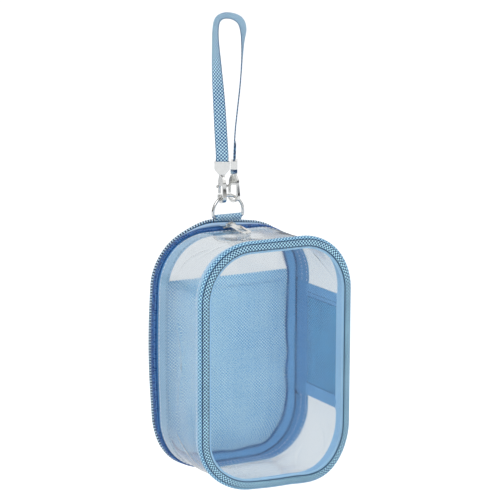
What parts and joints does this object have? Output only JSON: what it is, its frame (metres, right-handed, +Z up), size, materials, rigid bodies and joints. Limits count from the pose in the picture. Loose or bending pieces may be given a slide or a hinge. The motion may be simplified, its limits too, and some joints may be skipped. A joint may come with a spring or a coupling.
{
  "type": "zip pouch",
  "caption": "Clear zip pouch with piped seams, a cloth pocket and a cloth hinge, hung by a ring from a wrist strap with two swivel clasps.",
  "frame": {"origin": "inside top of the wrist strap's loop, where it hangs", "axes": "+Z up, +X to the right of the pouch's front, -Y towards the front"},
  "size_m": [0.1182, 0.084, 0.3173],
  "materials": {
    "webbing": "plain woven polyester webbing",
    "chrome": "polished nickel plate",
    "bright_steel": "bright nickel plate",
    "spring_steel": "bare spring wire",
    "piping_weave": "woven bias tape over cord",
    "binding_tape": "fine woven tape",
    "pocket_cloth": "plain woven polyester, matt",
    "hinge_weave": "plain woven polyester, matt",
    "zip_tape": "twill zip tape",
    "zip_teeth": "moulded coil",
    "zip_metal": "pressed stop",
    "clear_vinyl": "clear soft vinyl, glossy"
  },
  "bodies": {
    "strap": {"wrist_strap": "webbing", "left_crimp": "chrome", "right_crimp": "chrome"},
    "left_clasp": {"left_clasp": "chrome", "left_gate_pin": "bright_steel", "left_gate_spring": "spring_steel"},
    "left_gate": {"left_gate": "bright_steel"},
    "right_clasp": {"right_clasp": "chrome", "right_gate_pin": "bright_steel", "right_gate_spring": "spring_steel"},
    "right_gate": {"right_gate": "bright_steel"},
    "ring": {"d_ring": "chrome"},
    "pouch_back": {"ring_tab": "binding_tape", "back_panel": "clear_vinyl", "back_piping": "piping_weave", "back_binding": "binding_tape", "back_pocket": "pocket_cloth", "pocket_hem": "pocket_cloth", "rear_zip_tape": "zip_tape", "rear_zip_teeth": "zip_teeth", "rear_zip_stops": "zip_metal", "rear_hinge_cloth": "hinge_weave"},
    "pouch_front": {"front_panel": "clear_vinyl", "gusset": "clear_vinyl", "front_piping": "piping_weave", "front_seam_tape": "binding_tape", "front_zip_tape": "zip_tape", "front_zip_teeth": "zip_teeth", "front_zip_stops": "zip_metal", "hinge_cloth": "hinge_weave", "hinge_hems": "hinge_weave"},
    "slider": {"zip_slider": "chrome"},
    "pull": {"zip_pull": "bright_steel"}
  },
  "joints": [
    {"name": "left_clasp_swivel", "type": "hinge", "parent": "strap", "child": "left_clasp", "pos_m": [-0.0047, 0, -0.1089], "axis": [0, 0, 1], "range_deg": [-20, 20]},
    {"name": "left_gate_press", "type": "hinge", "parent": "left_clasp", "child": "left_gate", "pos_m": [-0.0047, 0.0019, -0.1156], "axis": [-1, 0, 0], "range_deg": [0, 18], "stiffness_Nm_per_rad": 0.004},
    {"name": "right_clasp_swivel", "type": "hinge", "parent": "strap", "child": "right_clasp", "pos_m": [0.0047, 0, -0.1089], "axis": [0, 0, 1], "range_deg": [-45, 0]},
    {"name": "right_gate_press", "type": "hinge", "parent": "right_clasp", "child": "right_gate", "pos_m": [0.0039, 0.00172, -0.1156], "axis": [-0.9063, -0.4226, 0], "range_deg": [0, 18], "stiffness_Nm_per_rad": 0.004},
    {"name": "ring_swing", "type": "hinge", "parent": "strap", "child": "ring", "pos_m": [0, 0, -0.12494], "axis": [1, 0, 0], "range_deg": [-6, 20]},
    {"name": "tab_swing", "type": "hinge", "parent": "ring", "child": "pouch_back", "pos_m": [0, 0, -0.13907], "axis": [1, 0, 0], "range_deg": [-60, 60]},
    {"name": "front_opening", "type": "hinge", "parent": "pouch_back", "child": "pouch_front", "pos_m": [0.0553, -0.0069, -0.22937], "axis": [0, 0, 1], "range_deg": [0, 150]},
    {"name": "slider_run", "type": "slide", "parent": "pouch_back", "child": "slider", "axis": [1, 0, 0], "range_m": [-0.012, 0.012]},
    {"name": "pull_flip", "type": "hinge", "parent": "slider", "child": "pull", "pos_m": [-0.003, -0.0095, -0.14232], "axis": [-1, 0, 0], "range_deg": [0, 80]}
  ]
}
